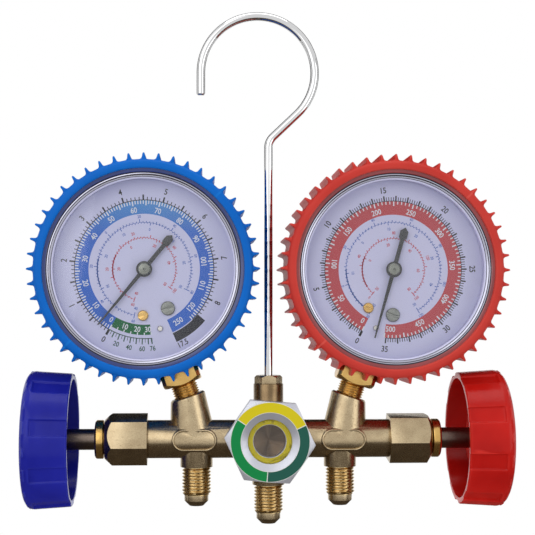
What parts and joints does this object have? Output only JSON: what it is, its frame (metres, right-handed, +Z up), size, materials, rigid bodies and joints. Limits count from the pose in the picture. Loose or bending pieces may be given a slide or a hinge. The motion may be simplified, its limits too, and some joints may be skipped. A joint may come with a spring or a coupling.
{
  "type": "refrigerant manifold gauge",
  "caption": "Two-valve refrigerant service manifold with a sight glass, two booted dial gauges, ribbed handwheels, flare hose ports and a wire hanging hook.",
  "frame": {"origin": "the point inside the hook that rests on the rail it hangs from", "axes": "+X towards the high side valve, +Z up, dials face -Y"},
  "size_m": [0.1839, 0.0524, 0.1981],
  "materials": {
    "brass_nickel": "dull nickel-toned brass, turned and tumbled",
    "brass_gold": "bright machined brass",
    "aluminium": "machined, matt",
    "chrome": "polished",
    "dark_steel": "dark turned steel",
    "steel": "bright zinc plated",
    "case_paint": "black enamel",
    "bezel_chrome": "polished",
    "lens_clear": "clear",
    "dial_print": "matt white enamel with printed scales",
    "pointer_black": "satin black",
    "cap_silver": "spun satin",
    "blue_rubber": "moulded, soft sheen",
    "red_rubber": "moulded, soft sheen",
    "blue_plastic": "moulded, semi-gloss",
    "red_plastic": "moulded, semi-gloss",
    "black_rubber": "plain",
    "nylon": "plain",
    "label_print": "printed ring in three colours",
    "indicator_yellow": "printed card",
    "spring_bronze": "drawn bronze"
  },
  "bodies": {
    "manifold": {"hook_nut": "dark_steel", "manifold_body": "brass_nickel", "sight_glass_nut": "aluminium", "sight_label": "label_print", "sight_window": "lens_clear", "sight_indicator": "indicator_yellow", "sight_seal": "black_rubber", "low_bonnet": "brass_nickel", "low_gland": "brass_gold", "low_stem_seal": "black_rubber", "low_gauge_boot": "blue_rubber", "low_gauge_case": "case_paint", "low_bezel": "bezel_chrome", "low_lens": "lens_clear", "low_dial": "dial_print", "low_brass_dial_screw": "brass_gold", "low_steel_dial_screw": "steel", "low_dial_pin": "steel", "low_gauge_socket": "brass_gold", "low_pressure_tube": "spring_bronze", "low_movement_frame": "brass_gold", "high_bonnet": "brass_nickel", "high_gland": "brass_gold", "high_stem_seal": "black_rubber", "high_gauge_boot": "red_rubber", "high_gauge_case": "case_paint", "high_bezel": "bezel_chrome", "high_lens": "lens_clear", "high_dial": "dial_print", "high_brass_dial_screw": "brass_gold", "high_steel_dial_screw": "steel", "high_dial_pin": "steel", "high_gauge_socket": "brass_gold", "high_pressure_tube": "spring_bronze", "high_movement_frame": "brass_gold"},
    "hook": {"hook": "chrome"},
    "low_plunger": {"low_plunger": "nylon"},
    "low_wheel": {"low_valve_stem": "dark_steel", "low_handwheel": "blue_plastic", "low_wheel_washer": "steel", "low_wheel_screw": "steel"},
    "low_pointer": {"low_pointer": "pointer_black", "low_pointer_cap": "cap_silver", "low_pinion": "steel"},
    "low_sector": {"low_sector": "brass_gold"},
    "low_link": {"low_link": "brass_gold"},
    "high_plunger": {"high_plunger": "nylon"},
    "high_wheel": {"high_valve_stem": "dark_steel", "high_handwheel": "red_plastic", "high_wheel_washer": "steel", "high_wheel_screw": "steel"},
    "high_pointer": {"high_pointer": "pointer_black", "high_pointer_cap": "cap_silver", "high_pinion": "steel"},
    "high_sector": {"high_sector": "brass_gold"},
    "high_link": {"high_link": "brass_gold"}
  },
  "joints": [
    {"name": "hook_swivel", "type": "hinge", "parent": "manifold", "child": "hook", "pos_m": [0, 0, -0.14104], "axis": [0, 0, 1], "continuous": true},
    {"name": "low_plunger_slide", "type": "slide", "parent": "manifold", "child": "low_plunger", "axis": [-1, 0, 0], "range_m": [0, 0.00451]},
    {"name": "low_valve_turn", "type": "hinge", "parent": "low_plunger", "child": "low_wheel", "pos_m": [0, 0, -0.16214], "axis": [-1, 0, 0], "range_deg": [0, 1080]},
    {"name": "low_pointer_turn", "type": "hinge", "parent": "manifold", "child": "low_pointer", "pos_m": [-0.04761, 0, -0.09703], "axis": [0, 1, 0], "range_deg": [-45.6, 296.6], "stiffness_Nm_per_rad": 0.0002},
    {"name": "low_sector_turn", "type": "hinge", "parent": "manifold", "child": "low_sector", "pos_m": [-0.04339, 0, -0.11267], "axis": [0, 1, 0], "range_deg": [-37.09, 5.71]},
    {"name": "low_link_turn", "type": "hinge", "parent": "low_sector", "child": "low_link", "pos_m": [-0.04344, 0, -0.11767], "axis": [0, 1, 0], "range_deg": [-5.71, 37.09]},
    {"name": "high_plunger_slide", "type": "slide", "parent": "manifold", "child": "high_plunger", "axis": [1, 0, 0], "range_m": [0, 0.00451]},
    {"name": "high_valve_turn", "type": "hinge", "parent": "high_plunger", "child": "high_wheel", "pos_m": [0, 0, -0.16214], "axis": [1, 0, 0], "range_deg": [0, 1080]},
    {"name": "high_pointer_turn", "type": "hinge", "parent": "manifold", "child": "high_pointer", "pos_m": [0.04761, 0, -0.09703], "axis": [0, 1, 0], "range_deg": [0, 350.6], "stiffness_Nm_per_rad": 0.0002},
    {"name": "high_sector_turn", "type": "hinge", "parent": "manifold", "child": "high_sector", "pos_m": [0.0429, 0, -0.11253], "axis": [0, 1, 0], "range_deg": [-43.84, 0.01]},
    {"name": "high_link_turn", "type": "hinge", "parent": "high_sector", "child": "high_link", "pos_m": [0.03972, 0, -0.11638], "axis": [0, 1, 0], "range_deg": [-0.01, 43.84]}
  ],
  "couplings": [
    {"joint": "low_plunger_slide", "follows": "low_valve_turn", "m_per_rad": 0.00023873},
    {"joint": "low_sector_turn", "follows": "low_pointer_turn", "ratio": -0.125},
    {"joint": "low_link_turn", "follows": "low_pointer_turn", "ratio": 0.125},
    {"joint": "high_plunger_slide", "follows": "high_valve_turn", "m_per_rad": 0.00023873},
    {"joint": "high_sector_turn", "follows": "high_pointer_turn", "ratio": -0.125},
    {"joint": "high_link_turn", "follows": "high_pointer_turn", "ratio": 0.125}
  ]
}
